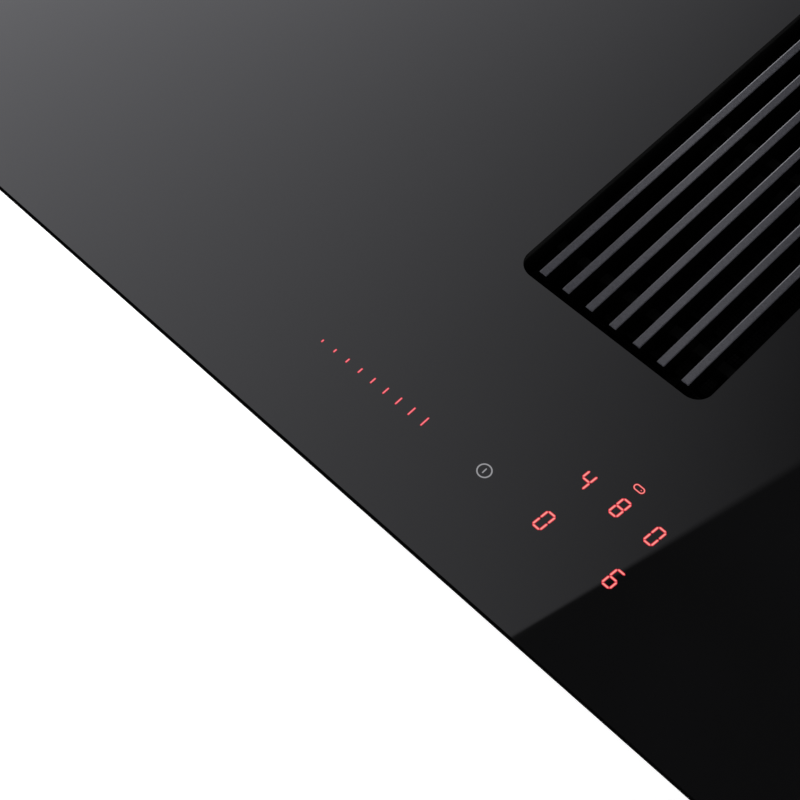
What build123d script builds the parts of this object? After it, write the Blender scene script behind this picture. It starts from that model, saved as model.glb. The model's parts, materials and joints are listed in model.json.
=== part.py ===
from build123d import *
import os

# A downdraft induction hob. Millimetres. X runs to the user's right, Y to the back, Z up.
# The origin is the centre of the worktop plane, on which the seal under the glass rests.

# Glass top and its seal
GLASS_WIDTH = 830.0
GLASS_DEPTH = 515.0
GLASS_THICKNESS = 4.0
GLASS_CORNER = 6.0
GLASS_BEVEL = 0.2
SEAL_THICKNESS = 1.0
SEAL_WIDTH = 9.0
SEAL_INSET = 0.1

# Lift-out grille in the air inlet
BAR_COUNT = 7
BAR_PITCH = 15.0
BAR_WIDTH = 4.4
BAR_HEIGHT = 18.0
BAR_CHAMFER_WIDTH = 0.5
BAR_CHAMFER_DEPTH = 0.15
BAR_SIDE_GAP = 11.1
BAR_END_GAP = 5.1
RAIL_WIDTH = 6.0
RAIL_HEIGHT = 10.0
RAIL_NOTCH = 4.0
RAIL_NOTCH_CLEARANCE = 0.1
RAIL_END_MARGIN = 28.0
RAIL_INSET = 1.0

# Air inlet through the glass, and the collar bonded under it
INLET_FRONT_MARGIN = 147.6
INLET_REAR_MARGIN = 67.4
INLET_CORNER = 9.4
LEAST_CORNER = 1.0
COLLAR_FLANGE = 12.0
COLLAR_FLANGE_THICKNESS = 1.8
COLLAR_UNDERCUT = 1.5
COLLAR_WALL = 2.0
LEDGE_INSET = 6.0
LEDGE_THICKNESS = 2.0
LIFT_CLEARANCE = 0.8

# Grease filter basket
FILTER_FLANGE = 1.5
FILTER_WALL = 1.0
FILTER_DEPTH = 50.0
FILTER_LIP = 5.0
MESH_THICKNESS = 5.0
MESH_CLEARANCE = 0.3
MESH_COLUMNS = 4
MESH_ROWS = 8
MESH_WEB = 3.0
STRAP_WIDTH = 14.0
STRAP_THICKNESS = 1.5
STRAP_DROP = 8.0
STRAP_LEG = 26.0

# Drip tray at the bottom of the inlet chamber
DRIP_HEIGHT = 40.0
DRIP_WALL = 1.5
DRIP_CORNER = 10.0

# Moulded air housings
HOUSING_WALL = 3.0
NECK_CLEARANCE = 0.3
GASKET_HEIGHT = 3.2
HOUSING_FLANGE = 7.0
PLENUM_FLANGE = 12.0
PLENUM_CHAMFER = 6.0
PLENUM_RIB = 5.0
PLENUM_RIB_COUNT = 4
SUCTION_HEIGHT = 78.0
SCROLL_HEIGHT = 89.0
SCROLL_GAP = 8.0
FAN_OFFSET_Y = 15.0
PORT_END_MARGIN = 35.0
VOLUTE_STEP = 16.0
TONGUE_WEB = 40.0
OUTLET_RISE = 5.0
DUCT_WIDTH = 222.0
DIFFUSER_LENGTH = 36.0
SPIGOT_LENGTH = 32.0

# Extraction fan
IMPELLER_RADIUS = 88.0
IMPELLER_CUTOFF_GAP = 8.0
IMPELLER_FLOOR_GAP = 7.0
IMPELLER_ROOF_GAP = 8.0
IMPELLER_SHEET = 2.0
BLADE_COUNT = 20
BLADE_LENGTH = 22.0
BLADE_THICKNESS = 1.5
BLADE_SWEEP = 50.0
BLADE_BENDS = 2
EYE_OVERLAP_GAP = 3.0
EYE_LIP = 3.0
EYE_LIP_DEPTH = 12.0
BELLMOUTH_RISE = 8.0
BELLMOUTH_CHAMFER = 5.0
MOTOR_RADIUS = 38.0
MOTOR_HEIGHT = 31.0
MOTOR_FLANGE_RADIUS = 50.0
MOTOR_FLANGE_SIDES = 6
MOTOR_FLANGE_THICKNESS = 3.0
MOTOR_DOME_GAP = 4.0
DAMPER_COUNT = 3
DAMPER_RADIUS = 5.0
DAMPER_HEIGHT = 4.0
DAMPER_SIDES = 12
SHAFT_RADIUS = 4.0
SHAFT_INSERT = 22.0
SHAFT_CLEARANCE = 0.05
HUB_RADIUS = 12.0
HUB_HEIGHT = 18.0

# Sheet-steel base tray
TRAY_SIDE_SETBACK = 30.0
TRAY_END_SETBACK = 17.5
TRAY_DEPTH = 48.0
TRAY_TAPER = 15.0
TRAY_CORNER = 18.0
TRAY_RIM = 7.0
SHEET = 1.0
TRAY_HOLE_CLEARANCE = 0.5
VENT_COUNT = 7
VENT_WIDTH = 4.0
BEAD_COUNT = 3
BEAD_LENGTH = 200.0
BEAD_WIDTH = 9.0
BEAD_HEIGHT = 1.5
BEAD_SPACING = 70.0
BEAD_FRONT_MARGIN = 60.0

# Leaf clips that grip the worktop cut-out
CLIP_WIDTH = 30.0
CLIP_REACH = 5.0
CLIP_TOP = 8.0
CLIP_DROP = 30.0
CLIP_SHEET = 0.8
CLIP_SPACING = 260.0

# Induction coils and the plates that carry them
COIL_BORE_RADIUS = 24.0
COIL_THICKNESS = 5.0
COIL_SIDES = 24
COIL_GLASS_GAP = 6.0
FORMER_GAP = 13.0
FORMER_MARGIN = 4.0
FORMER_THICKNESS = 3.0
FORMER_SIDES = 8
FERRITE_COUNT = 8
FERRITE_EDGE_MARGIN = 11.0
FERRITE_WIDTH = 14.0
FERRITE_THICKNESS = 5.0
SENSOR_RADIUS = 7.0
SENSOR_SIDES = 12
CARRIER_MARGIN = 14.0
CARRIER_SHEET = 2.0

# Power electronics under each carrier
BOARD_WIDTH = 190.0
BOARD_LENGTH = 220.0
BOARD_THICKNESS = 1.6
BOARD_SETBACK = 20.0
STANDOFF_HEIGHT = 6.0
STANDOFF_RADIUS = 4.0
STANDOFF_SIDES = 6
STANDOFF_INSET = 10.0
SINK_WIDTH = 52.0
SINK_LENGTH = 130.0
SINK_BASE = 4.0
SINK_HEIGHT = 15.0
SINK_FIN_COUNT = 8
SINK_FIN = 1.6

# Cooling fans on the tray floor
COOLER_SIZE = 80.0
COOLER_HEIGHT = 15.0
COOLER_WALL = 2.5
COOLER_SPACING = 35.0
COOLER_PLATE = 3.0
COOLER_HUB_RADIUS = 15.0
COOLER_HUB_SIDES = 14
COOLER_STRUT_COUNT = 3
COOLER_STRUT_WIDTH = 5.0
COOLER_PIN_RADIUS = 2.0
COOLER_PIN_CLEARANCE = 0.05
COOLER_AXIAL_GAP = 0.3
COOLER_TIP_GAP = 1.5
COOLER_BLADE_COUNT = 7
COOLER_BLADE_PITCH = 35.0
COOLER_BLADE_THICKNESS = 1.5
COOLER_BLADE_CHORD = 11.0

# Touch control under the front of the glass
CONTROL_END_MARGIN = 18.9
CONTROL_DEPTH = 72.0
CONTROL_FRONT_MARGIN = 70.0
CONTROL_WALL = 2.0
CONTROL_HOLDER_GAP = 8.0
DIGIT_SPACING_X = 20.4
DIGIT_COLUMN_X = 65.7
DIGIT_REAR_Y = 80.9
DIGIT_FRONT_Y = 52.0
DIGIT_WIDTH = 12.0
DIGIT_HEIGHT = 17.0
SLIDER_X = -62.0
SLIDER_Y = 51.0
SLIDER_WIDTH = 76.0
SLIDER_DEPTH = 11.0
POWER_KEY_X = 8.7
POWER_KEY_Y = 52.0
POWER_KEY_RADIUS = 5.5
POWER_KEY_SIDES = 16

# Mains terminal box under the tray
TERMINAL_WIDTH = 96.0
TERMINAL_DEPTH = 74.0
TERMINAL_HEIGHT = 38.0
TERMINAL_WALL = 2.5
TERMINAL_LID = 2.5
TERMINAL_REAR_MARGIN = 26.0
TERMINAL_SIDE_GAP = 35.0
GLAND_RADIUS = 12.0
GLAND_SIDES = 12
GLAND_BORE_RADIUS = 7.5
GLAND_LENGTH = 16.0
GLAND_NUT_RADIUS = 16.0
GLAND_NUT_LENGTH = 5.0

# Levels, from the worktop plane up to the glass and down to the base
glass_bottom = SEAL_THICKNESS
glass_top_z = glass_bottom + GLASS_THICKNESS
glass_front = -GLASS_DEPTH / 2
collar_bottom = glass_bottom - COLLAR_FLANGE_THICKNESS
bar_bottom = glass_top_z - BAR_HEIGHT
rail_bottom = bar_bottom + RAIL_NOTCH - RAIL_HEIGHT
filter_flange_bottom = rail_bottom - FILTER_FLANGE
ledge_bottom = filter_flange_bottom - LEDGE_THICKNESS
filter_bottom = filter_flange_bottom - FILTER_DEPTH
tray_floor_bottom = -TRAY_DEPTH
tray_floor = tray_floor_bottom + SHEET
suction_bottom = tray_floor_bottom - SUCTION_HEIGHT
scroll_bottom = suction_bottom - SCROLL_HEIGHT
scroll_floor = scroll_bottom + HOUSING_WALL
scroll_roof = suction_bottom - HOUSING_WALL

# Plan sizes of the inlet and of what hangs in it
inlet_width = (BAR_COUNT - 1) * BAR_PITCH + BAR_WIDTH + 2 * BAR_SIDE_GAP
inlet_length = GLASS_DEPTH - INLET_FRONT_MARGIN - INLET_REAR_MARGIN
inlet_y = glass_front + INLET_FRONT_MARGIN + inlet_length / 2
bar_length = inlet_length - 2 * BAR_END_GAP
flange_inset = LIFT_CLEARANCE
basket_inset = LEDGE_INSET + LIFT_CLEARANCE
neck_inner_grow = COLLAR_UNDERCUT
neck_outer_grow = neck_inner_grow + COLLAR_WALL
plenum_inner_grow = neck_outer_grow + NECK_CLEARANCE
plenum_outer_grow = plenum_inner_grow + HOUSING_WALL
hole_grow = plenum_outer_grow + TRAY_HOLE_CLEARANCE
plenum_right = inlet_width / 2 + plenum_outer_grow
gasket_bottom = collar_bottom - GASKET_HEIGHT

# Fan axis and the four-centre volute round it
volute_start = IMPELLER_RADIUS + IMPELLER_CUTOFF_GAP + VOLUTE_STEP / 2
volute_end = volute_start + 3 * VOLUTE_STEP
fan_x = plenum_right + SCROLL_GAP + HOUSING_WALL + volute_start + VOLUTE_STEP * 1.5
fan_y = inlet_y + FAN_OFFSET_Y
outlet_left = fan_x + volute_start - VOLUTE_STEP / 2 + 2 * HOUSING_WALL
outlet_right = fan_x + volute_end + VOLUTE_STEP / 2
outlet_y = fan_y + volute_start + VOLUTE_STEP / 2 + HOUSING_WALL + OUTLET_RISE
suction_radius = inlet_length / 2 - PORT_END_MARGIN

# Fan levels
impeller_bottom = scroll_floor + IMPELLER_FLOOR_GAP
impeller_top = scroll_roof - IMPELLER_ROOF_GAP
motor_bottom = scroll_floor + DAMPER_HEIGHT
motor_can_bottom = motor_bottom + MOTOR_FLANGE_THICKNESS
motor_top = motor_can_bottom + MOTOR_HEIGHT
dome_bottom = motor_top + MOTOR_DOME_GAP
hub_top = dome_bottom + IMPELLER_SHEET + HUB_HEIGHT
blade_inner_radius = IMPELLER_RADIUS - BLADE_LENGTH
eye_radius = blade_inner_radius - EYE_OVERLAP_GAP - EYE_LIP

# Base tray sizes at its top and bottom
tray_top_width = GLASS_WIDTH - 2 * TRAY_SIDE_SETBACK
tray_top_depth = GLASS_DEPTH - 2 * TRAY_END_SETBACK
tray_bottom_width = tray_top_width - 2 * TRAY_TAPER
tray_bottom_depth = tray_top_depth - 2 * TRAY_TAPER
tray_hole_right = inlet_width / 2 + hole_grow + SHEET

# The bay between the inlet and the side wall, one on each side
control_half_width = DIGIT_COLUMN_X + DIGIT_SPACING_X + DIGIT_WIDTH / 2 + CONTROL_END_MARGIN
bay_left = max(tray_hole_right, control_half_width) + CARRIER_MARGIN
bay_right = tray_bottom_width / 2 - CARRIER_MARGIN
bay_x = (bay_left + bay_right) / 2
bay_width = bay_right - bay_left
bay_depth = tray_bottom_depth - 2 * CARRIER_MARGIN
coil_y = bay_depth / 4
former_radius = min(coil_y, bay_width / 2) - FORMER_GAP / 2
coil_radius = former_radius - FORMER_MARGIN
coil_top = glass_bottom - COIL_GLASS_GAP
former_top = coil_top - COIL_THICKNESS
ferrite_top = former_top - FORMER_THICKNESS
carrier_top = ferrite_top - FERRITE_THICKNESS
board_bottom = tray_floor + STANDOFF_HEIGHT
board_top = board_bottom + BOARD_THICKNESS
board_y = BOARD_SETBACK + BOARD_LENGTH / 2 - bay_depth / 2
cooler_y = board_y + BOARD_LENGTH / 2 + COOLER_SPACING + COOLER_SIZE / 2
control_y = glass_front + CONTROL_FRONT_MARGIN
control_board_top = glass_bottom - CONTROL_HOLDER_GAP

SIDES = {"left": -1, "right": 1}
ROWS = {"front": -1, "rear": 1}

os.makedirs("parts", exist_ok=True)


def save(part, name):
    part.label = name
    export_step(part, f"parts/{name}.step")


def inlet_shape(grow, mode=Mode.ADD):
    """The inlet's rounded rectangle, grown on every side, in the current sketch."""
    corner = max(INLET_CORNER + grow, LEAST_CORNER)
    with Locations((0, inlet_y)):
        RectangleRounded(inlet_width + 2 * grow, inlet_length + 2 * grow, corner, mode=mode)


def tray_half_width(level):
    """Half the tray's outside width at a level between the worktop plane and its floor."""
    return tray_top_width / 2 + TRAY_TAPER * level / TRAY_DEPTH


def tray_shape(level, inset, mode=Mode.ADD):
    """The tray's rounded outline at a level, drawn in by the inset, in the current sketch."""
    shrink = 2 * (inset - TRAY_TAPER * level / TRAY_DEPTH)
    RectangleRounded(tray_top_width - shrink, tray_top_depth - shrink, TRAY_CORNER - inset, mode=mode)


def scroll_outline(grow):
    """Plan of the fan scroll: four quarter arcs of growing radius, closed into the outlet."""
    half_step = VOLUTE_STEP / 2
    start = (fan_x - half_step + volute_start + grow, fan_y + half_step)
    end = (fan_x + half_step + volute_end + grow, fan_y + half_step)
    centres = [
        (-half_step, half_step),
        (-half_step, -half_step),
        (half_step, -half_step),
        (half_step, half_step),
    ]
    outlet_width = outlet_right - outlet_left + 2 * grow
    outlet_length = outlet_y - fan_y
    with BuildSketch() as outline:
        with BuildLine():
            for quarter, (x, y) in enumerate(centres):
                radius = volute_start + quarter * VOLUTE_STEP + grow
                CenterArc((fan_x + x, fan_y + y), radius, 90 * quarter, 90)
            Line(end, start)
        make_face()
        with Locations(((outlet_left + outlet_right) / 2, fan_y + outlet_length / 2)):
            Rectangle(outlet_width, outlet_length)
    return outline.sketch


def tongue_web():
    """Plan of the web that fills the narrow wedge between the scroll and its outlet wall."""
    centre = (outlet_left - HOUSING_WALL - TONGUE_WEB / 4, fan_y + (VOLUTE_STEP + TONGUE_WEB) / 2)
    with BuildSketch() as outline:
        with Locations(centre):
            Rectangle(TONGUE_WEB / 2, TONGUE_WEB)
    return outline.sketch


def suction_outline(inset, reach):
    """Plan of the suction chamber: a half round over the fan eye, run out straight to the plenum."""
    radius = suction_radius - inset
    left = plenum_right - reach
    with BuildSketch() as outline:
        with Locations((fan_x, fan_y)):
            Circle(radius)
        with Locations(((left + fan_x) / 2, fan_y)):
            Rectangle(fan_x - left, 2 * radius)
    return outline.sketch


def blade_section():
    """Section of one impeller blade, a bent strip whose hollow side faces the way it turns."""
    camber_radius = BLADE_LENGTH / 2
    centre = Vector(0, camber_radius)
    back = []
    hollow = []
    for bend in range(BLADE_BENDS + 1):
        angle = BLADE_SWEEP * (2 * bend / BLADE_BENDS - 1) - 90
        outward = Vector(1, 0).rotate(Axis.Z, angle)
        back.append(centre + outward * (camber_radius + BLADE_THICKNESS / 2))
        hollow.insert(0, centre + outward * (camber_radius - BLADE_THICKNESS / 2))
    with BuildSketch() as section:
        with BuildLine():
            Polyline(*back, *hollow, close=True)
        make_face()
    return section.sketch


# Glass top, with the inlet cut through it and a polished bevel on both edges
with BuildPart() as glass_top:
    with BuildSketch(Plane.XY.offset(glass_bottom)):
        RectangleRounded(GLASS_WIDTH, GLASS_DEPTH, GLASS_CORNER)
        inlet_shape(0, mode=Mode.SUBTRACT)
    extrude(amount=GLASS_THICKNESS)
    chamfer(glass_top.faces().sort_by(Axis.Z)[-1].edges(), GLASS_BEVEL)
save(glass_top.part, "glass_top")

# Foam seal between the glass edge and the worktop
seal_outer = 2 * SEAL_INSET
seal_inner = 2 * (SEAL_INSET + SEAL_WIDTH)
with BuildPart() as edge_seal:
    with BuildSketch():
        RectangleRounded(GLASS_WIDTH - seal_outer, GLASS_DEPTH - seal_outer, GLASS_CORNER - SEAL_INSET)
        Rectangle(GLASS_WIDTH - seal_inner, GLASS_DEPTH - seal_inner, mode=Mode.SUBTRACT)
    extrude(amount=SEAL_THICKNESS)
save(edge_seal.part, "edge_seal")

# Inlet collar: a flange flush with the cut glass, a neck set back behind it, and an inner ledge
with BuildPart() as inlet_collar:
    with BuildSketch(Plane.XY.offset(collar_bottom)):
        inlet_shape(COLLAR_FLANGE)
        inlet_shape(0, mode=Mode.SUBTRACT)
    extrude(amount=COLLAR_FLANGE_THICKNESS)
    with BuildSketch(Plane.XY.offset(ledge_bottom)):
        inlet_shape(neck_outer_grow)
        inlet_shape(neck_inner_grow, mode=Mode.SUBTRACT)
    extrude(amount=collar_bottom - ledge_bottom)
    with BuildSketch(Plane.XY.offset(ledge_bottom)):
        inlet_shape(neck_outer_grow)
        inlet_shape(-LEDGE_INSET, mode=Mode.SUBTRACT)
    extrude(amount=LEDGE_THICKNESS)
save(inlet_collar.part, "inlet_collar")

# Seven grille bars, flush with the glass, each with its upper edges broken by a low slope
for index in range(BAR_COUNT):
    bar_x = (index - (BAR_COUNT - 1) / 2) * BAR_PITCH
    with BuildPart() as grille_bar:
        with BuildSketch(Plane.XY.offset(bar_bottom)):
            with Locations((bar_x, inlet_y)):
                Rectangle(BAR_WIDTH, bar_length)
        extrude(amount=BAR_HEIGHT)
        bar_top = grille_bar.faces().sort_by(Axis.Z)[-1]
        chamfer(bar_top.edges(), BAR_CHAMFER_WIDTH, BAR_CHAMFER_DEPTH, reference=bar_top)
    save(grille_bar.part, f"grille_bar_{index + 1}")

# Three notched rails that carry the bars and stand on the filter's flange
rail_travel = bar_length / 2 - RAIL_END_MARGIN
rail_length = inlet_width - 2 * (flange_inset + RAIL_INSET)
for name, shift in {"front": -rail_travel, "middle": 0, "rear": rail_travel}.items():
    with BuildPart() as grille_rail:
        with BuildSketch(Plane.XY.offset(rail_bottom)):
            with Locations((0, inlet_y + shift)):
                Rectangle(rail_length, RAIL_WIDTH)
        extrude(amount=RAIL_HEIGHT)
        with BuildSketch(Plane.XY.offset(bar_bottom)):
            with Locations((0, inlet_y + shift)):
                with GridLocations(BAR_PITCH, RAIL_WIDTH, BAR_COUNT, 1):
                    Rectangle(BAR_WIDTH + 2 * RAIL_NOTCH_CLEARANCE, RAIL_WIDTH)
        extrude(amount=RAIL_NOTCH, mode=Mode.SUBTRACT)
    save(grille_rail.part, f"grille_rail_{name}")

# Filter basket: a flange on the collar's ledge, four walls and a lip under the mesh
with BuildPart() as filter_frame:
    with BuildSketch(Plane.XY.offset(filter_flange_bottom)):
        inlet_shape(-flange_inset)
    extrude(amount=FILTER_FLANGE)
    with BuildSketch(Plane.XY.offset(filter_bottom)):
        inlet_shape(-basket_inset)
    extrude(amount=FILTER_DEPTH)
    with BuildSketch(Plane.XY.offset(filter_bottom + FILTER_WALL)):
        inlet_shape(-basket_inset - FILTER_WALL)
    extrude(amount=FILTER_DEPTH + FILTER_FLANGE, mode=Mode.SUBTRACT)
    with BuildSketch(Plane.XY.offset(filter_bottom)):
        inlet_shape(-basket_inset - FILTER_WALL - FILTER_LIP)
    extrude(amount=FILTER_WALL, mode=Mode.SUBTRACT)
save(filter_frame.part, "filter_frame")

# Filter mesh panel lying on the lip, pierced by a grid of openings
mesh_inset = basket_inset + FILTER_WALL + MESH_CLEARANCE
mesh_field_width = inlet_width - 2 * (mesh_inset + FILTER_LIP)
mesh_field_length = inlet_length - 2 * (mesh_inset + FILTER_LIP)
mesh_pitch_x = mesh_field_width / MESH_COLUMNS
mesh_pitch_y = mesh_field_length / MESH_ROWS
with BuildPart() as filter_mesh:
    with BuildSketch(Plane.XY.offset(filter_bottom + FILTER_WALL)):
        inlet_shape(-mesh_inset)
        with Locations((0, inlet_y)):
            with GridLocations(mesh_pitch_x, mesh_pitch_y, MESH_COLUMNS, MESH_ROWS):
                Rectangle(mesh_pitch_x - MESH_WEB, mesh_pitch_y - MESH_WEB, mode=Mode.SUBTRACT)
    extrude(amount=MESH_THICKNESS)
save(filter_mesh.part, "filter_mesh")

# Lifting strap: a bent strip fixed to both long walls of the basket
strap_half = inlet_width / 2 - basket_inset - FILTER_WALL
strap_top = filter_flange_bottom - STRAP_DROP
with BuildPart() as filter_strap:
    with BuildSketch(Plane.XZ.offset(-inlet_y)):
        with Locations((0, strap_top - STRAP_LEG / 2)):
            Rectangle(2 * strap_half, STRAP_LEG)
        with Locations((0, strap_top - STRAP_THICKNESS - STRAP_LEG / 2)):
            Rectangle(2 * (strap_half - STRAP_THICKNESS), STRAP_LEG, mode=Mode.SUBTRACT)
    extrude(amount=STRAP_WIDTH / 2, both=True)
save(filter_strap.part, "filter_strap")

# Drip tray: an open tub on the chamber's floor, narrow enough to lift out past the ledge
drip_width = inlet_width - 2 * basket_inset
drip_length = inlet_length - 2 * basket_inset
with BuildPart() as drip_tray:
    with BuildSketch(Plane.XY.offset(scroll_floor)):
        with Locations((0, inlet_y)):
            RectangleRounded(drip_width, drip_length, DRIP_CORNER)
    extrude(amount=DRIP_HEIGHT)
    with BuildSketch(Plane.XY.offset(scroll_floor + DRIP_WALL)):
        with Locations((0, inlet_y)):
            RectangleRounded(drip_width - 2 * DRIP_WALL, drip_length - 2 * DRIP_WALL, DRIP_CORNER - DRIP_WALL)
    extrude(amount=DRIP_HEIGHT, mode=Mode.SUBTRACT)
save(drip_tray.part, "drip_tray")

# Plenum tub below the inlet: ribs outside, a port to the fan side and flanges under the base tray
plenum_flange_span = inlet_length + 2 * (plenum_outer_grow + PLENUM_FLANGE)
plenum_rib_pitch = inlet_length / PLENUM_RIB_COUNT
port_height = SUCTION_HEIGHT - HOUSING_WALL
with BuildPart() as plenum_tub:
    with BuildSketch(Plane.XY.offset(scroll_bottom)):
        inlet_shape(plenum_outer_grow)
    extrude(amount=gasket_bottom - scroll_bottom)
    chamfer(plenum_tub.faces().sort_by(Axis.Z)[0].edges(), PLENUM_CHAMFER)
    with BuildSketch(Plane.XY.offset(scroll_bottom + 2 * PLENUM_CHAMFER)):
        with Locations((-plenum_right + HOUSING_WALL / 2 - PLENUM_RIB / 2, inlet_y)):
            with GridLocations(PLENUM_RIB, plenum_rib_pitch, 1, PLENUM_RIB_COUNT):
                Rectangle(PLENUM_RIB + HOUSING_WALL, HOUSING_WALL)
    extrude(amount=tray_floor_bottom - scroll_bottom - 2 * PLENUM_CHAMFER)
    with BuildSketch(Plane.XY.offset(tray_floor_bottom - HOUSING_WALL)):
        with Locations((0, inlet_y)):
            Rectangle(inlet_width, plenum_flange_span)
    extrude(amount=HOUSING_WALL)
    with BuildSketch(Plane.XY.offset(scroll_floor)):
        inlet_shape(plenum_inner_grow)
    extrude(amount=gasket_bottom - scroll_floor, mode=Mode.SUBTRACT)
    with BuildSketch(Plane.XY.offset(suction_bottom)):
        with Locations((plenum_right, fan_y)):
            Rectangle(4 * HOUSING_WALL, 2 * (suction_radius - HOUSING_WALL))
    extrude(amount=port_height, mode=Mode.SUBTRACT)
save(plenum_tub.part, "plenum_tub")

# Foam gasket between the tub's upper edge and the collar
with BuildPart() as inlet_gasket:
    with BuildSketch(Plane.XY.offset(gasket_bottom)):
        inlet_shape(plenum_outer_grow)
        inlet_shape(plenum_inner_grow, mode=Mode.SUBTRACT)
    extrude(amount=GASKET_HEIGHT)
save(inlet_gasket.part, "inlet_gasket")

# Suction cover: roof and walls over the fan eye, open to the plenum and downwards
with BuildPart() as suction_cover:
    with BuildSketch(Plane.XY.offset(suction_bottom)):
        add(suction_outline(0, 0))
    extrude(amount=SUCTION_HEIGHT)
    with BuildSketch(Plane.XY.offset(suction_bottom)):
        add(suction_outline(HOUSING_WALL, HOUSING_WALL))
    extrude(amount=port_height, mode=Mode.SUBTRACT)
save(suction_cover.part, "suction_cover")

# Fan inlet plate: a flanged lid on the scroll that carries the bell-mouth and its inner lip
with BuildPart() as fan_inlet_plate:
    with BuildSketch(Plane.XY.offset(scroll_roof)):
        add(scroll_outline(HOUSING_WALL + HOUSING_FLANGE))
        add(suction_outline(-HOUSING_FLANGE, 0))
    extrude(amount=HOUSING_WALL)
    with BuildSketch(Plane.XY.offset(suction_bottom)):
        with Locations((fan_x, fan_y)):
            Circle(eye_radius + EYE_LIP + BELLMOUTH_RISE)
    extrude(amount=BELLMOUTH_RISE)
    with BuildSketch(Plane.XY.offset(scroll_roof - EYE_LIP_DEPTH)):
        with Locations((fan_x, fan_y)):
            Circle(eye_radius + EYE_LIP)
    extrude(amount=EYE_LIP_DEPTH)
    with BuildSketch(Plane.XY.offset(scroll_roof - EYE_LIP_DEPTH)):
        with Locations((fan_x, fan_y)):
            Circle(eye_radius)
    extrude(amount=EYE_LIP_DEPTH + HOUSING_WALL + BELLMOUTH_RISE, mode=Mode.SUBTRACT)
    mouth_edge = fan_inlet_plate.faces().sort_by(Axis.Z)[-1].edges().sort_by(SortBy.RADIUS)[0]
    chamfer(mouth_edge, BELLMOUTH_CHAMFER)
save(fan_inlet_plate.part, "fan_inlet_plate")

# Fan scroll: floor and volute wall, open at the top and at the outlet
with BuildPart() as fan_scroll:
    with BuildSketch(Plane.XY.offset(scroll_bottom)):
        add(scroll_outline(HOUSING_WALL))
        add(tongue_web())
    extrude(amount=scroll_roof - scroll_bottom)
    with BuildSketch(Plane.XY.offset(scroll_floor)):
        add(scroll_outline(0))
    extrude(amount=scroll_roof - scroll_floor, mode=Mode.SUBTRACT)
    with BuildSketch(Plane.XY.offset(scroll_floor)):
        with Locations(((outlet_left + outlet_right) / 2, outlet_y)):
            Rectangle(outlet_right - outlet_left, 2 * HOUSING_WALL)
    extrude(amount=scroll_roof - scroll_floor, mode=Mode.SUBTRACT)
save(fan_scroll.part, "fan_scroll")

# Outlet spigot: widens from the scroll's outlet to a flat duct at the rear
duct_right = outlet_right + HOUSING_WALL
duct_left = duct_right - DUCT_WIDTH
diffuser_end = outlet_y + DIFFUSER_LENGTH
spigot_end = diffuser_end + SPIGOT_LENGTH
with BuildPart() as outlet_spigot:
    with BuildSketch(Plane.XY.offset(scroll_bottom)):
        with BuildLine():
            Polyline(
                (outlet_left - HOUSING_WALL, outlet_y),
                (duct_right, outlet_y),
                (duct_right, spigot_end),
                (duct_left, spigot_end),
                (duct_left, diffuser_end),
                close=True,
            )
        make_face()
    extrude(amount=SCROLL_HEIGHT)
    with BuildSketch(Plane.XY.offset(scroll_floor)):
        with BuildLine():
            Polyline(
                (outlet_left, outlet_y),
                (outlet_right, outlet_y),
                (outlet_right, spigot_end),
                (duct_left + HOUSING_WALL, spigot_end),
                (duct_left + HOUSING_WALL, diffuser_end + HOUSING_WALL),
                close=True,
            )
        make_face()
    extrude(amount=scroll_roof - scroll_floor, mode=Mode.SUBTRACT)
save(outlet_spigot.part, "outlet_spigot")

# Impeller: hub, dome over the motor, rim, swept blades and the ring that ties their tops
dome_radius = MOTOR_RADIUS + MOTOR_DOME_GAP
with BuildPart() as impeller:
    with BuildSketch(Plane.XZ):
        with BuildLine():
            Polyline(
                (SHAFT_RADIUS, hub_top),
                (HUB_RADIUS, hub_top),
                (HUB_RADIUS, dome_bottom + IMPELLER_SHEET),
                (dome_radius + IMPELLER_SHEET, dome_bottom + IMPELLER_SHEET),
                (dome_radius + IMPELLER_SHEET, impeller_bottom + IMPELLER_SHEET),
                (IMPELLER_RADIUS, impeller_bottom + IMPELLER_SHEET),
                (IMPELLER_RADIUS, impeller_bottom),
                (dome_radius, impeller_bottom),
                (dome_radius, dome_bottom),
                (SHAFT_RADIUS, dome_bottom),
                close=True,
            )
        make_face()
    revolve(axis=Axis.Z)
    with BuildSketch(Plane.XY.offset(impeller_top - IMPELLER_SHEET)):
        Circle(IMPELLER_RADIUS)
        Circle(blade_inner_radius, mode=Mode.SUBTRACT)
    extrude(amount=IMPELLER_SHEET)
    blade_mean_radius = IMPELLER_RADIUS - BLADE_LENGTH / 2
    with BuildSketch(Plane.XY.offset(impeller_bottom + IMPELLER_SHEET / 2)):
        with PolarLocations(blade_mean_radius, BLADE_COUNT):
            add(blade_section())
    extrude(amount=impeller_top - impeller_bottom - IMPELLER_SHEET)
save(impeller.part.moved(Location((fan_x, fan_y, 0))), "impeller")

# Fan shaft, fixed in the hub and running in the motor
with BuildPart() as fan_shaft:
    with BuildSketch(Plane.XY.offset(motor_top - SHAFT_INSERT)):
        with Locations((fan_x, fan_y)):
            Circle(SHAFT_RADIUS)
    extrude(amount=hub_top - motor_top + SHAFT_INSERT)
save(fan_shaft.part, "fan_shaft")

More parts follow.
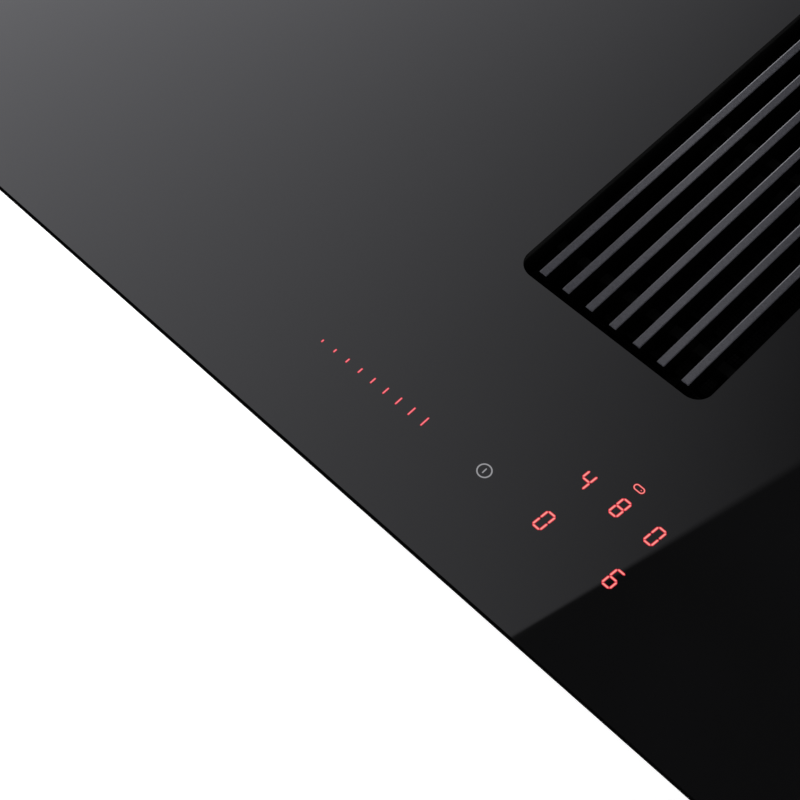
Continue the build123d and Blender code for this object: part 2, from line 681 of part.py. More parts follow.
# Fan motor: six-sided flange on its dampers, round can, bore for the shaft
with BuildPart() as fan_motor:
    with BuildSketch(Plane.XY.offset(motor_bottom)):
        with Locations((fan_x, fan_y)):
            RegularPolygon(MOTOR_FLANGE_RADIUS, MOTOR_FLANGE_SIDES)
    extrude(amount=MOTOR_FLANGE_THICKNESS)
    with BuildSketch(Plane.XY.offset(motor_can_bottom)):
        with Locations((fan_x, fan_y)):
            Circle(MOTOR_RADIUS)
    extrude(amount=MOTOR_HEIGHT)
    with BuildSketch(Plane.XY.offset(motor_top - SHAFT_INSERT - MOTOR_FLANGE_THICKNESS)):
        with Locations((fan_x, fan_y)):
            Circle(SHAFT_RADIUS + SHAFT_CLEARANCE)
    extrude(amount=SHAFT_INSERT + MOTOR_FLANGE_THICKNESS, mode=Mode.SUBTRACT)
save(fan_motor.part, "fan_motor")

# Rubber dampers between the motor flange and the scroll floor
with BuildPart() as motor_dampers:
    with BuildSketch(Plane.XY.offset(scroll_floor)):
        with Locations((fan_x, fan_y)):
            with PolarLocations(MOTOR_FLANGE_RADIUS - 2 * DAMPER_RADIUS, DAMPER_COUNT):
                RegularPolygon(DAMPER_RADIUS, DAMPER_SIDES)
    extrude(amount=DAMPER_HEIGHT)
save(motor_dampers.part, "motor_dampers")

# Base tray: tapered pan, rim under the glass, walled hole for the plenum, fan vents and stiffening beads
vent_pitch = COOLER_SIZE / (VENT_COUNT + 1)
bead_y = -tray_bottom_depth / 2 + BEAD_FRONT_MARGIN + BEAD_SPACING * (BEAD_COUNT - 1) / 2
with BuildPart() as base_tray:
    with BuildSketch(Plane.XY.offset(tray_floor_bottom)):
        tray_shape(tray_floor_bottom, 0)
    with BuildSketch():
        tray_shape(0, 0)
    loft()
    with BuildSketch(Plane.XY.offset(tray_floor)):
        tray_shape(tray_floor, SHEET)
    with BuildSketch():
        tray_shape(0, SHEET)
    loft(mode=Mode.SUBTRACT)
    with BuildSketch():
        tray_shape(0, -TRAY_RIM)
        tray_shape(0, SHEET, mode=Mode.SUBTRACT)
    extrude(amount=SEAL_THICKNESS)
    with BuildSketch(Plane.XY.offset(tray_floor_bottom - BEAD_HEIGHT)):
        with Locations((-bay_x, bead_y)):
            with GridLocations(BEAD_LENGTH, BEAD_SPACING, 1, BEAD_COUNT):
                Rectangle(BEAD_LENGTH, BEAD_WIDTH)
    extrude(amount=BEAD_HEIGHT)
    with BuildSketch(Plane.XY.offset(tray_floor_bottom)):
        inlet_shape(hole_grow + SHEET)
    extrude(amount=collar_bottom - tray_floor_bottom)
    with BuildSketch(Plane.XY.offset(tray_floor_bottom)):
        inlet_shape(hole_grow)
        for side in SIDES.values():
            with Locations((side * bay_x, cooler_y)):
                with GridLocations(vent_pitch, COOLER_SIZE, VENT_COUNT, 1):
                    Rectangle(VENT_WIDTH, COOLER_SIZE - 4 * COOLER_WALL)
    extrude(amount=collar_bottom - tray_floor_bottom, mode=Mode.SUBTRACT)
save(base_tray.part, "base_tray")

# Leaf clips, two on each side wall, bowed out to the worktop cut-out
clip_levels = [-CLIP_TOP, -CLIP_TOP - CLIP_DROP / 2, -CLIP_TOP - CLIP_DROP]
with BuildPart() as worktop_clips:
    for side in SIDES.values():
        for row in ROWS.values():
            with BuildSketch(Plane.XZ.offset(-row * CLIP_SPACING / 2)):
                with BuildLine():
                    Polyline(
                        (side * tray_half_width(clip_levels[0]), clip_levels[0]),
                        (side * (tray_top_width / 2 + CLIP_REACH), clip_levels[1]),
                        (side * tray_half_width(clip_levels[2]), clip_levels[2]),
                        close=True,
                    )
                make_face()
                offset(amount=-CLIP_SHEET, kind=Kind.INTERSECTION, mode=Mode.SUBTRACT)
            extrude(amount=CLIP_WIDTH / 2, both=True)
save(worktop_clips.part, "worktop_clips")

# Coil carriers: a channel over each bay, its end legs standing on the tray floor
for side_name, side in SIDES.items():
    with BuildPart() as coil_carrier:
        with BuildSketch(Plane.XY.offset(tray_floor)):
            with Locations((side * bay_x, 0)):
                Rectangle(bay_width, bay_depth)
        extrude(amount=carrier_top - tray_floor)
        with BuildSketch(Plane.XY.offset(tray_floor)):
            with Locations((side * bay_x, 0)):
                Rectangle(bay_width, bay_depth - 2 * CARRIER_SHEET)
        extrude(amount=carrier_top - tray_floor - CARRIER_SHEET, mode=Mode.SUBTRACT)
    save(coil_carrier.part, f"coil_carrier_{side_name}")

# Ferrite bars lying on each carrier, in a star under each coil
ferrite_start = COIL_BORE_RADIUS + FORMER_MARGIN
ferrite_end = coil_radius - FERRITE_EDGE_MARGIN
for side_name, side in SIDES.items():
    with BuildPart() as coil_ferrites:
        with BuildSketch(Plane.XY.offset(carrier_top)):
            with Locations(*[(side * bay_x, row * coil_y) for row in ROWS.values()]):
                with PolarLocations((ferrite_start + ferrite_end) / 2, FERRITE_COUNT):
                    Rectangle(ferrite_end - ferrite_start, FERRITE_WIDTH)
        extrude(amount=FERRITE_THICKNESS)
    save(coil_ferrites.part, f"coil_ferrites_{side_name}")

# Four coils, each an eight-sided former on the ferrites with its winding on top
coil_centres = {}
for row_name, row in ROWS.items():
    for side_name, side in SIDES.items():
        coil_centres[f"{row_name}_{side_name}"] = (side * bay_x, row * coil_y)
for zone, centre in coil_centres.items():
    with BuildPart() as coil_former:
        with BuildSketch(Plane.XY.offset(ferrite_top)):
            with Locations(centre):
                RegularPolygon(former_radius, FORMER_SIDES, major_radius=False, rotation=180 / FORMER_SIDES)
                RegularPolygon(SENSOR_RADIUS, SENSOR_SIDES, mode=Mode.SUBTRACT)
        extrude(amount=FORMER_THICKNESS)
    save(coil_former.part, f"coil_former_{zone}")
    with BuildPart() as coil_winding:
        with BuildSketch(Plane.XY.offset(former_top)):
            with Locations(centre):
                RegularPolygon(coil_radius, COIL_SIDES)
                RegularPolygon(COIL_BORE_RADIUS, COIL_SIDES, mode=Mode.SUBTRACT)
        extrude(amount=COIL_THICKNESS)
    save(coil_winding.part, f"coil_winding_{zone}")

# Temperature sensors standing in the coil centres, up to the glass
with BuildPart() as coil_sensors:
    with BuildSketch(Plane.XY.offset(carrier_top)):
        with Locations(*coil_centres.values()):
            RegularPolygon(SENSOR_RADIUS, SENSOR_SIDES)
    extrude(amount=glass_bottom - carrier_top)
save(coil_sensors.part, "coil_sensors")

# Standoffs under both power boards
with BuildPart() as board_standoffs:
    with BuildSketch(Plane.XY.offset(tray_floor)):
        with Locations(*[(side * bay_x, board_y) for side in SIDES.values()]):
            with GridLocations(BOARD_WIDTH - 2 * STANDOFF_INSET, BOARD_LENGTH - 2 * STANDOFF_INSET, 2, 2):
                RegularPolygon(STANDOFF_RADIUS, STANDOFF_SIDES)
    extrude(amount=STANDOFF_HEIGHT)
save(board_standoffs.part, "board_standoffs")

# Power board and heat sink in each bay
sink_fin_pitch = (SINK_WIDTH - SINK_FIN) / (SINK_FIN_COUNT - 1)
for side_name, side in SIDES.items():
    with BuildPart() as power_board:
        with BuildSketch(Plane.XY.offset(board_bottom)):
            with Locations((side * bay_x, board_y)):
                Rectangle(BOARD_WIDTH, BOARD_LENGTH)
        extrude(amount=BOARD_THICKNESS)
    save(power_board.part, f"power_board_{side_name}")
    with BuildPart() as heat_sink:
        with BuildSketch(Plane.XY.offset(board_top)):
            with Locations((side * bay_x, board_y)):
                Rectangle(SINK_WIDTH, SINK_LENGTH)
        extrude(amount=SINK_BASE)
        with BuildSketch(Plane.XY.offset(board_top + SINK_BASE)):
            with Locations((side * bay_x, board_y)):
                with GridLocations(sink_fin_pitch, SINK_LENGTH, SINK_FIN_COUNT, 1):
                    Rectangle(SINK_FIN, SINK_LENGTH)
        extrude(amount=SINK_HEIGHT - SINK_BASE)
    save(heat_sink.part, f"heat_sink_{side_name}")

# Cooling fans: a square frame with a strutted motor plate and pin, and a bladed rotor on the pin
cooler_bore = COOLER_SIZE / 2 - COOLER_WALL
rotor_bottom = tray_floor + COOLER_PLATE + COOLER_AXIAL_GAP
rotor_height = COOLER_HEIGHT - COOLER_PLATE - 2 * COOLER_AXIAL_GAP
blade_tip = cooler_bore - COOLER_TIP_GAP
blade_root = COOLER_HUB_RADIUS - COOLER_BLADE_THICKNESS
for side_name, side in SIDES.items():
    centre = (side * bay_x, cooler_y)
    with BuildPart() as cooler_frame:
        with BuildSketch(Plane.XY.offset(tray_floor)):
            with Locations(centre):
                Rectangle(COOLER_SIZE, COOLER_SIZE)
                Circle(cooler_bore, mode=Mode.SUBTRACT)
        extrude(amount=COOLER_HEIGHT)
        with BuildSketch(Plane.XY.offset(tray_floor)):
            with Locations(centre):
                RegularPolygon(COOLER_HUB_RADIUS, COOLER_HUB_SIDES)
                with PolarLocations(cooler_bore / 2, COOLER_STRUT_COUNT):
                    Rectangle(cooler_bore + COOLER_WALL, COOLER_STRUT_WIDTH)
        extrude(amount=COOLER_PLATE)
        with BuildSketch(Plane.XY.offset(tray_floor + COOLER_PLATE)):
            with Locations(centre):
                Circle(COOLER_PIN_RADIUS)
        extrude(amount=rotor_height - COOLER_AXIAL_GAP)
    save(cooler_frame.part, f"cooling_fan_frame_{side_name}")
    with BuildPart() as cooler_rotor:
        with BuildSketch(Plane.XY.offset(rotor_bottom)):
            with Locations(centre):
                RegularPolygon(COOLER_HUB_RADIUS, COOLER_HUB_SIDES)
                Circle(COOLER_PIN_RADIUS + COOLER_PIN_CLEARANCE, mode=Mode.SUBTRACT)
        extrude(amount=rotor_height)
        for index in range(COOLER_BLADE_COUNT):
            angle = 360 * index / COOLER_BLADE_COUNT
            turned = Location((*centre, rotor_bottom + rotor_height / 2), (0, 0, angle))
            with BuildSketch(Plane(turned * Location((blade_root, 0, 0), (0, 90, 0)))):
                Rectangle(COOLER_BLADE_CHORD, COOLER_BLADE_THICKNESS, rotation=COOLER_BLADE_PITCH)
            extrude(amount=blade_tip - blade_root)
    save(cooler_rotor.part, f"cooling_fan_rotor_{side_name}")

# Touch control: an open holder on the tray floor, the board on it, lights up to the glass
control_board_bottom = control_board_top - BOARD_THICKNESS
control_width = 2 * control_half_width
with BuildPart() as control_holder:
    with BuildSketch(Plane.XY.offset(tray_floor)):
        with Locations((0, control_y)):
            Rectangle(control_width, CONTROL_DEPTH)
            Rectangle(control_width - 2 * CONTROL_WALL, CONTROL_DEPTH - 2 * CONTROL_WALL, mode=Mode.SUBTRACT)
    extrude(amount=control_board_bottom - tray_floor)
save(control_holder.part, "control_holder")

with BuildPart() as control_board:
    with BuildSketch(Plane.XY.offset(control_board_bottom)):
        with Locations((0, control_y)):
            Rectangle(control_width, CONTROL_DEPTH)
    extrude(amount=BOARD_THICKNESS)
save(control_board.part, "control_board")

digit_places = [
    (DIGIT_COLUMN_X - DIGIT_SPACING_X, glass_front + DIGIT_REAR_Y),
    (DIGIT_COLUMN_X, glass_front + DIGIT_REAR_Y),
    (DIGIT_COLUMN_X + DIGIT_SPACING_X, glass_front + DIGIT_REAR_Y),
    (DIGIT_COLUMN_X - DIGIT_SPACING_X, glass_front + DIGIT_FRONT_Y),
    (DIGIT_COLUMN_X + DIGIT_SPACING_X, glass_front + DIGIT_FRONT_Y),
]
with BuildPart() as display_modules:
    with BuildSketch(Plane.XY.offset(control_board_top)):
        with Locations(*digit_places):
            Rectangle(DIGIT_WIDTH, DIGIT_HEIGHT)
    extrude(amount=CONTROL_HOLDER_GAP)
save(display_modules.part, "display_modules")

with BuildPart() as slider_light_guide:
    with BuildSketch(Plane.XY.offset(control_board_top)):
        with Locations((SLIDER_X, glass_front + SLIDER_Y)):
            Rectangle(SLIDER_WIDTH, SLIDER_DEPTH)
    extrude(amount=CONTROL_HOLDER_GAP)
save(slider_light_guide.part, "slider_light_guide")

with BuildPart() as power_light_guide:
    with BuildSketch(Plane.XY.offset(control_board_top)):
        with Locations((POWER_KEY_X, glass_front + POWER_KEY_Y)):
            RegularPolygon(POWER_KEY_RADIUS, POWER_KEY_SIDES)
    extrude(amount=CONTROL_HOLDER_GAP)
save(power_light_guide.part, "power_light_guide")

# Terminal box under the tray, left of the plenum at the rear, with its lid and the cable gland
terminal_x = -plenum_right - TERMINAL_SIDE_GAP - TERMINAL_WIDTH / 2
terminal_rear = tray_bottom_depth / 2 - TERMINAL_REAR_MARGIN
terminal_y = terminal_rear - TERMINAL_DEPTH / 2
terminal_bottom = tray_floor_bottom - TERMINAL_HEIGHT
gland_z = tray_floor_bottom - TERMINAL_HEIGHT / 2
gland_plane = Plane((terminal_x, terminal_rear, gland_z), x_dir=(1, 0, 0), z_dir=(0, 1, 0))
with BuildPart() as terminal_box:
    with BuildSketch(Plane.XY.offset(terminal_bottom)):
        with Locations((terminal_x, terminal_y)):
            Rectangle(TERMINAL_WIDTH, TERMINAL_DEPTH)
    extrude(amount=TERMINAL_HEIGHT)
    chamfer(terminal_box.edges().filter_by(Axis.Z), 2 * TERMINAL_WALL)
    with BuildSketch(Plane.XY.offset(terminal_bottom)):
        with Locations((terminal_x, terminal_y)):
            Rectangle(TERMINAL_WIDTH - 4 * TERMINAL_WALL, TERMINAL_DEPTH - 2 * TERMINAL_WALL)
            Rectangle(TERMINAL_WIDTH - 2 * TERMINAL_WALL, TERMINAL_DEPTH - 4 * TERMINAL_WALL)
    extrude(amount=TERMINAL_HEIGHT - TERMINAL_WALL, mode=Mode.SUBTRACT)
    with BuildSketch(gland_plane):
        RegularPolygon(GLAND_RADIUS, GLAND_SIDES)
    extrude(amount=-TERMINAL_WALL, mode=Mode.SUBTRACT)
save(terminal_box.part, "terminal_box")

with BuildPart() as terminal_lid:
    with BuildSketch(Plane.XY.offset(terminal_bottom - TERMINAL_LID)):
        with Locations((terminal_x, terminal_y)):
            Rectangle(TERMINAL_WIDTH, TERMINAL_DEPTH)
    extrude(amount=TERMINAL_LID)
    chamfer(terminal_lid.edges().filter_by(Axis.Z), 2 * TERMINAL_WALL)
save(terminal_lid.part, "terminal_lid")

with BuildPart() as cable_gland:
    with BuildSketch(gland_plane.offset(-TERMINAL_WALL)):
        RegularPolygon(GLAND_RADIUS, GLAND_SIDES)
    extrude(amount=GLAND_LENGTH)
    with BuildSketch(gland_plane):
        RegularPolygon(GLAND_NUT_RADIUS, 6)
    extrude(amount=GLAND_NUT_LENGTH)
    with BuildSketch(gland_plane.offset(-TERMINAL_WALL)):
        Circle(GLAND_BORE_RADIUS)
    extrude(amount=GLAND_LENGTH, mode=Mode.SUBTRACT)
save(cable_gland.part, "cable_gland")
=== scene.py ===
import json
import math

import bmesh
import bpy
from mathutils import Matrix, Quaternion, Vector


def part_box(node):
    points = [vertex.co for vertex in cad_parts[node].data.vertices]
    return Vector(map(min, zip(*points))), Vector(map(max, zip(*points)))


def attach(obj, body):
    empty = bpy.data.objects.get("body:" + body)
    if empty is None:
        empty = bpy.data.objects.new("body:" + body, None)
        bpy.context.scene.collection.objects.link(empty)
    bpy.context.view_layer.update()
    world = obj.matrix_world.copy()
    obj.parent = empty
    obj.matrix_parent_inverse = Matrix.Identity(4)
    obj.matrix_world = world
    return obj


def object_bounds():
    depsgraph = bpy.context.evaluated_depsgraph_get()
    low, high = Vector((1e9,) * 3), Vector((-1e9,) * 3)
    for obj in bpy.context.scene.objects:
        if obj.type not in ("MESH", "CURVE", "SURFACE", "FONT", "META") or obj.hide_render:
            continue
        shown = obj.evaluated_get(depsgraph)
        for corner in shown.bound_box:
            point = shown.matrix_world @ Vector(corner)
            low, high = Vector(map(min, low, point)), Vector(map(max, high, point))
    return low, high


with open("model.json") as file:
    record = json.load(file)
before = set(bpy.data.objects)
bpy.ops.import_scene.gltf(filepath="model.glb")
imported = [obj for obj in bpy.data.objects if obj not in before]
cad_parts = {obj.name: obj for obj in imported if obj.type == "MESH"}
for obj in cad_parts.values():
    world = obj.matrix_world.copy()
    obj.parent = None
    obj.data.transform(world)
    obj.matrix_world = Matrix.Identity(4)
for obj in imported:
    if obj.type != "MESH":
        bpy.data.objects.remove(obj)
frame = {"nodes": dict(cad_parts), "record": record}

# Looks of the downdraft hob, in metres. X runs to the user's right, Y to the back, Z up.
cad_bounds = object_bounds()
nodes = frame["nodes"]
MM = 0.001

# Camera, solved from the hob's straight edges and even bar spacing
CAMERA_PLACE = Vector((0.22073, -0.47793, 0.66243))
CAMERA_TARGET = Vector((-0.04539, -0.20557, 0.005))
CAMERA_ROLL = math.radians(-0.161)
CAMERA_LENS = 72.49
CAMERA_SENSOR = 36.0

# Soft card over the left of the hob: its brightness rises to the left and falls to the back
CARD_HEIGHT = 1.505
CARD_LEFT = -3.0
CARD_RIGHT = 0.3
CARD_FRONT = -1.2
CARD_BACK = 2.6
CARD_LEVEL = 0.616
CARD_RISE_LEFT = 0.483
CARD_CURVE_LEFT = 0.305
CARD_RISE_BACK = -0.685
CARD_RISE_BOTH = 0.412
CARD_EDGE_X = -0.2647
CARD_EDGE_Y = 0.2523
CARD_EDGE_SLOPE = 0.2485
CARD_EDGE_BLUR = 0.003
CARD_EDGE_BLUR_GROWTH = 0.03
CARD_CAP = 2.4
DARK_CEILING = 0.062

# Floor and room light
FLOOR_HALF = 6.0
FLOOR_GAP = 0.2 * MM
AMBIENT = 0.40
FLOOR_GLOW_NEAR = 0.59
FLOOR_GLOW_FAR = 1.0
FLOOR_NEAR = 0.65
FLOOR_FAR = 1.7
HORIZON_TOP = 0.34
CEILING_START = 0.52

# Strip lamp over the back left, whose sheen runs aslant across the bars
STRIP_PLACE = (-0.322, 0.600, 0.966)
STRIP_LENGTH = 0.55
STRIP_WIDTH = 0.10
STRIP_TURN = math.radians(-52)
STRIP_POWER = 0.64

# Width of the lighter band along the edges of moulded and painted pieces: wear there, together with a
# painted highlight
EDGE_WEAR_AND_HIGHLIGHT = 1.6 * MM

# Lit figures, in millimetres from the glass's front edge and its middle; a tip is a share of its stroke
FIGURE_RISE = 0.08
DIGIT_WIDTH = 5.75
DIGIT_HEIGHT = 11.1
DIGIT_STROKE = 1.3
DIGIT_TIP = 0.25
DIGIT_GAP = 0.1
DIGIT_SLANT = math.tan(math.radians(5.5))
DIGITS = {
    "4": [(45.4, 80.9)],
    "8": [(65.7, 80.9)],
    "0": [(86.2, 80.9), (45.2, 52.1)],
    "6": [(86.3, 52.1)],
}
SEGMENTS = {
    "a": ((0, 1), (1, 1)),
    "b": ((1, 1), (1, 0.5)),
    "c": ((1, 0.5), (1, 0)),
    "d": ((0, 0), (1, 0)),
    "e": ((0, 0), (0, 0.5)),
    "f": ((0, 0.5), (0, 1)),
    "g": ((0, 0.5), (1, 0.5)),
}
LIT_SEGMENTS = {"4": "bcfg", "8": "abcdefg", "0": "abcdef", "6": "acdefg"}
TICK_COUNT = 9
TICK_START = -95.1
TICK_STEP = 8.27
TICK_FOOT = 48.65
TICK_LENGTH = 1.8
TICK_GROWTH = 0.51
TICK_WIDTH = 0.95
TICK_TIP = 0.6
OVAL_PLACE = (65.8, 94.4)
OVAL_LENGTH = 6.1
OVAL_HEIGHT = 3.6
OVAL_STROKE = 0.75
OVAL_DOT_SHIFT = 1.2
OVAL_DOT = 0.7
OVAL_DOT_TIP = 0.5
POWER_PLACE = (8.7, 52.0)
POWER_DIAMETER = 7.7
POWER_STROKE = 0.75
POWER_MARK_LENGTH = 3.2
POWER_MARK_STROKE = 0.7
POWER_MARK_TIP = 2 / 3
ROUND_STEPS = 48

# Section of a lit figure: side of its middle line, and height over the glass
FIGURE_SECTION = ((1, 0.0), (1, FIGURE_RISE), (0, FIGURE_RISE), (-1, FIGURE_RISE), (-1, 0.0))
FIGURE_MIDDLE = 2

# Crossed wires in the filter's openings, in millimetres
WIRE_PITCH = 2.4
WIRE_RADIUS = 0.28
WIRE_SIDES = 5
WIRE_INSET = 6.0

# Screw with a six-lobed recess: reach and height of each ring in head radii, and depth of its lobes
SCREW_RADIUS = 3.0 * MM
SCREW_STEPS = 24
SCREW_LOBES = 6
SCREW_RINGS = (
    (1.0, 0.0, 0.0),
    (1.0, 0.30, 0.0),
    (0.86, 0.52, 0.0),
    (0.62, 0.62, 0.0),
    (0.44, 0.62, 0.14),
    (0.40, 0.22, 0.14),
)

# Housing flanges that carry the screws, in millimetres and degrees
FAN_X = 204.1
FAN_Y = 55.1
VOLUTE_START = 104.0
VOLUTE_STEP = 16.0
HOUSING_WALL = 3.0
HOUSING_FLANGE = 7.0
PLENUM_FLANGE = 12.0
TRAY_BEAD = 1.5
SCROLL_SCREW_ANGLES = (243, 262, 284, 306, 328, 350)
OUTLET_SCREWS_Y = (100.0, 150.0)
LID_SCREW_INSET = 9.0
PLENUM_SCREW_X = 35.0
UP = Vector((0, 0, 1))


def linear(red, green, blue):
    """Scene-linear colour of 8-bit display values."""
    parts = []
    for value in (red, green, blue):
        share = value / 255
        parts.append(share / 12.92 if share <= 0.04045 else ((share + 0.055) / 1.055) ** 2.4)
    return (*parts, 1.0)


def grey(level, tint=1.0):
    """A grey of that scene-linear level, with the blue scaled by the tint."""
    return (level, level, level * tint, 1.0)


class Look:
    """One material while it is built: its tree, its shader and short ways to add nodes."""

    def __init__(self, name, metallic=0.0, specular=0.5):
        self.material = bpy.data.materials.new(name)
        self.material.use_nodes = True
        self.tree = self.material.node_tree
        self.shader = self.tree.nodes["Principled BSDF"]
        self.shader.inputs["Metallic"].default_value = metallic
        self.shader.inputs["Specular IOR Level"].default_value = specular

    def add(self, kind, **settings):
        node = self.tree.nodes.new(kind)
        for name, value in settings.items():
            setattr(node, name, value)
        return node

    def link(self, source, target):
        self.tree.links.new(source, target)

    def drive(self, name, source):
        self.link(source, self.shader.inputs[name])

    def place(self, stretch=(1, 1, 1), output="Object", shift=(0, 0, 0)):
        """Coordinates on the object, scaled and then shifted on each axis."""
        coordinates = self.add("ShaderNodeTexCoord")
        mapping = self.add("ShaderNodeMapping")
        mapping.inputs["Scale"].default_value = stretch
        mapping.inputs["Location"].default_value = shift
        self.link(coordinates.outputs[output], mapping.inputs["Vector"])
        return mapping.outputs["Vector"]

    def noise(self, scale, detail=3.0, stretch=(1, 1, 1)):
        texture = self.add("ShaderNodeTexNoise")
        texture.inputs["Scale"].default_value = scale
        texture.inputs["Detail"].default_value = detail
        self.link(self.place(stretch), texture.inputs["Vector"])
        return texture.outputs["Fac"]

    def spread(self, source, low, high, start=0.3, end=0.7):
        """A number drawn from low to high as the source goes from start to end."""
        span = self.add("ShaderNodeMapRange")
        span.inputs["From Min"].default_value = start
        span.inputs["From Max"].default_value = end
        span.inputs["To Min"].default_value = low
        span.inputs["To Max"].default_value = high
        self.link(source, span.inputs["Value"])
        return span.outputs["Result"]

    def blend(self, factor, first, second):
        """A colour between two, each a colour or a socket, by a factor from 0 to 1."""
        mix = self.add("ShaderNodeMix", data_type="RGBA")
        self.link(factor, mix.inputs["Factor"])
        for socket, value in ((mix.inputs[6], first), (mix.inputs[7], second)):
            if isinstance(value, bpy.types.NodeSocket):
                self.link(value, socket)
            else:
                socket.default_value = value
        return mix.outputs[2]

    def facing(self, axis):
        """How far the surface looks along one of the object's axes, from -1 to 1."""
        coordinates = self.add("ShaderNodeTexCoord")
        parts = self.add("ShaderNodeSeparateXYZ")
        self.link(coordinates.outputs["Normal"], parts.inputs["Vector"])
        return parts.outputs[axis]

    def facing_up(self, start, end):
        """From 0 on walls to 1 on faces that look up."""
        return self.spread(self.facing("Z"), 0.0, 1.0, start, end)

    def edges(self):
        """From 0 on flat stretches to 1 along sharp edges, where rounding would turn the normal."""
        rounded = self.add("ShaderNodeBevel")
        rounded.inputs["Radius"].default_value = EDGE_WEAR_AND_HIGHLIGHT
        shape = self.add("ShaderNodeNewGeometry")
        match = self.add("ShaderNodeVectorMath", operation="DOT_PRODUCT")
        self.link(rounded.outputs["Normal"], match.inputs[0])
        self.link(shape.outputs["Normal"], match.inputs[1])
        return self.spread(match.outputs["Value"], 1.0, 0.0, 0.80, 0.97)

    def bump(self, source, depth, strength=1.0):
        node = self.add("ShaderNodeBump")
        node.inputs["Strength"].default_value = strength
        node.inputs["Distance"].default_value = depth
        self.link(source, node.inputs["Height"])
        self.drive("Normal", node.outputs["Normal"])


def surface(
    name, low, high, drift, roughness, grain, depth,
    metallic=0.0, stretch=(1, 1, 1), specular=0.5, edge_highlight=None,
):
    """A finish whose colour drifts, over a fine grain, with lighter edges where their colour is given:
    wear along the edges together with a painted highlight.
    """
    look = Look(name, metallic, specular)
    broad = look.noise(drift, 4.0, stretch)
    fine = look.noise(grain, 2.0, stretch)
    tone = look.blend(look.spread(broad, 0.0, 1.0), low, high)
    # Lighter edges: wear there, and a painted highlight where a rounded edge would catch light.
    if edge_highlight:
        tone = look.blend(look.edges(), tone, edge_highlight)
    look.drive("Base Color", tone)
    look.drive("Roughness", look.spread(fine, *roughness))
    look.bump(fine, depth)
    return look.material


def polished_glass():
    """Black glass-ceramic: a mirror-like top with faint smears, and a ground, dull edge whose walls
    facing +X are given a lighter tone as painted light.
    """
    look = Look("black_glass")
    smears = look.noise(9.0, 5.0)
    up = look.facing_up(0.9, 0.98)
    face = look.blend(look.spread(smears, 0.0, 1.0), grey(0.0012), grey(0.0020, 1.1))
    # Walls facing +X are lighter: painted light on the lit side of the cut edge.
    side = look.spread(look.facing("X"), 0.0, 1.0, 0.6, 0.9)
    look.drive("Base Color", look.blend(up, look.blend(side, grey(0.006), grey(0.011)), face))
    look.drive("Specular Tint", look.blend(up, grey(0.0), grey(1.0)))
    dulled = look.add("ShaderNodeMath", operation="MAXIMUM")
    look.link(up, dulled.inputs[0])
    look.link(side, dulled.inputs[1])
    look.drive("Metallic", look.spread(dulled.outputs[0], 1.0, 0.0, 0.0, 1.0))
    gloss = look.add("ShaderNodeMix", data_type="FLOAT")
    look.link(up, gloss.inputs["Factor"])
    gloss.inputs[2].default_value = 0.55
    look.link(look.spread(smears, 0.012, 0.03), gloss.inputs[3])
    look.drive("Roughness", gloss.outputs[0])
    return look.material


def ground_bar():
    """Dark anodised bar: a grey top with a fine cross grain, a painted highlight along its left edge that
    grows towards the back, and black sides.
    """
    look = Look("bar_aluminium", metallic=0.25, specular=0.2)
    grain = look.noise(1.0, 1.0, (1100, 4200, 1100))
    up = look.facing_up(0.45, 0.85)
    speck = look.spread(grain, 0.0, 1.0, 0.36, 0.64)
    top = look.blend(speck, linear(46, 46, 50), linear(62, 62, 67))
    # The left chamfer's colour is a painted highlight: close to the top's tone at the front, much
    # brighter towards the back, where the edge would catch reflected light.
    left_edge = look.spread(look.facing("X"), 1.0, 0.0, -0.25, -0.15)
    along = look.add("ShaderNodeVectorMath", operation="DOT_PRODUCT")
    along.inputs[1].default_value = (0.55, 1.0, 0.0)
    look.link(look.place(), along.inputs[0])
    highlight_ramp = look.spread(along.outputs["Value"], 0.0, 1.0, -0.085, 0.02)
    edge_highlight = look.blend(highlight_ramp, linear(44, 44, 47), linear(109, 109, 112))
    top = look.blend(left_edge, top, edge_highlight)
    look.drive("Base Color", look.blend(up, grey(0.0012), top))
    look.drive("Roughness", look.spread(grain, 0.22, 0.26))
    look.bump(grain, 0.004 * MM, 0.6)
    return look.material


def galvanised_sheet():
    """Zinc-coated sheet: ragged crystals, each with its own tone and its own lie of needles."""
    look = Look("tray_steel", metallic=1.0)
    stir = look.add("ShaderNodeTexNoise")
    stir.inputs["Scale"].default_value = 500.0
    look.link(look.place(), stir.inputs["Vector"])
    ragged = look.add("ShaderNodeVectorMath", operation="MULTIPLY_ADD")
    ragged.inputs[1].default_value = (0.004, 0.004, 0.004)
    look.link(stir.outputs["Color"], ragged.inputs[0])
    look.link(look.place(), ragged.inputs[2])
    crystals = look.add("ShaderNodeTexVoronoi")
    crystals.inputs["Scale"].default_value = 150.0
    look.link(ragged.outputs["Vector"], crystals.inputs["Vector"])
    tones = look.add("ShaderNodeSeparateColor")
    look.link(crystals.outputs["Color"], tones.inputs["Color"])
    lie = look.add("ShaderNodeVectorRotate")
    lie.inputs["Axis"].default_value = (1.0, 1.0, 1.0)
    look.link(look.place((300, 300, 2400)), lie.inputs["Vector"])
    look.link(look.spread(tones.outputs["Blue"], 0.0, math.tau, 0.0, 1.0), lie.inputs["Angle"])
    needles = look.add("ShaderNodeTexNoise")
    needles.inputs["Scale"].default_value = 1.0
    look.link(lie.outputs["Vector"], needles.inputs["Vector"])
    shade = look.blend(tones.outputs["Red"], grey(0.23), grey(0.30, 1.03))
    shine = look.blend(tones.outputs["Red"], grey(0.31), grey(0.42, 1.03))
    look.drive("Base Color", look.blend(look.spread(needles.outputs["Fac"], 0.0, 1.0), shade, shine))
    look.drive("Roughness", look.spread(tones.outputs["Green"], 0.32, 0.46, 0.0, 1.0))
    look.bump(needles.outputs["Fac"], 0.01 * MM)
    return look.material


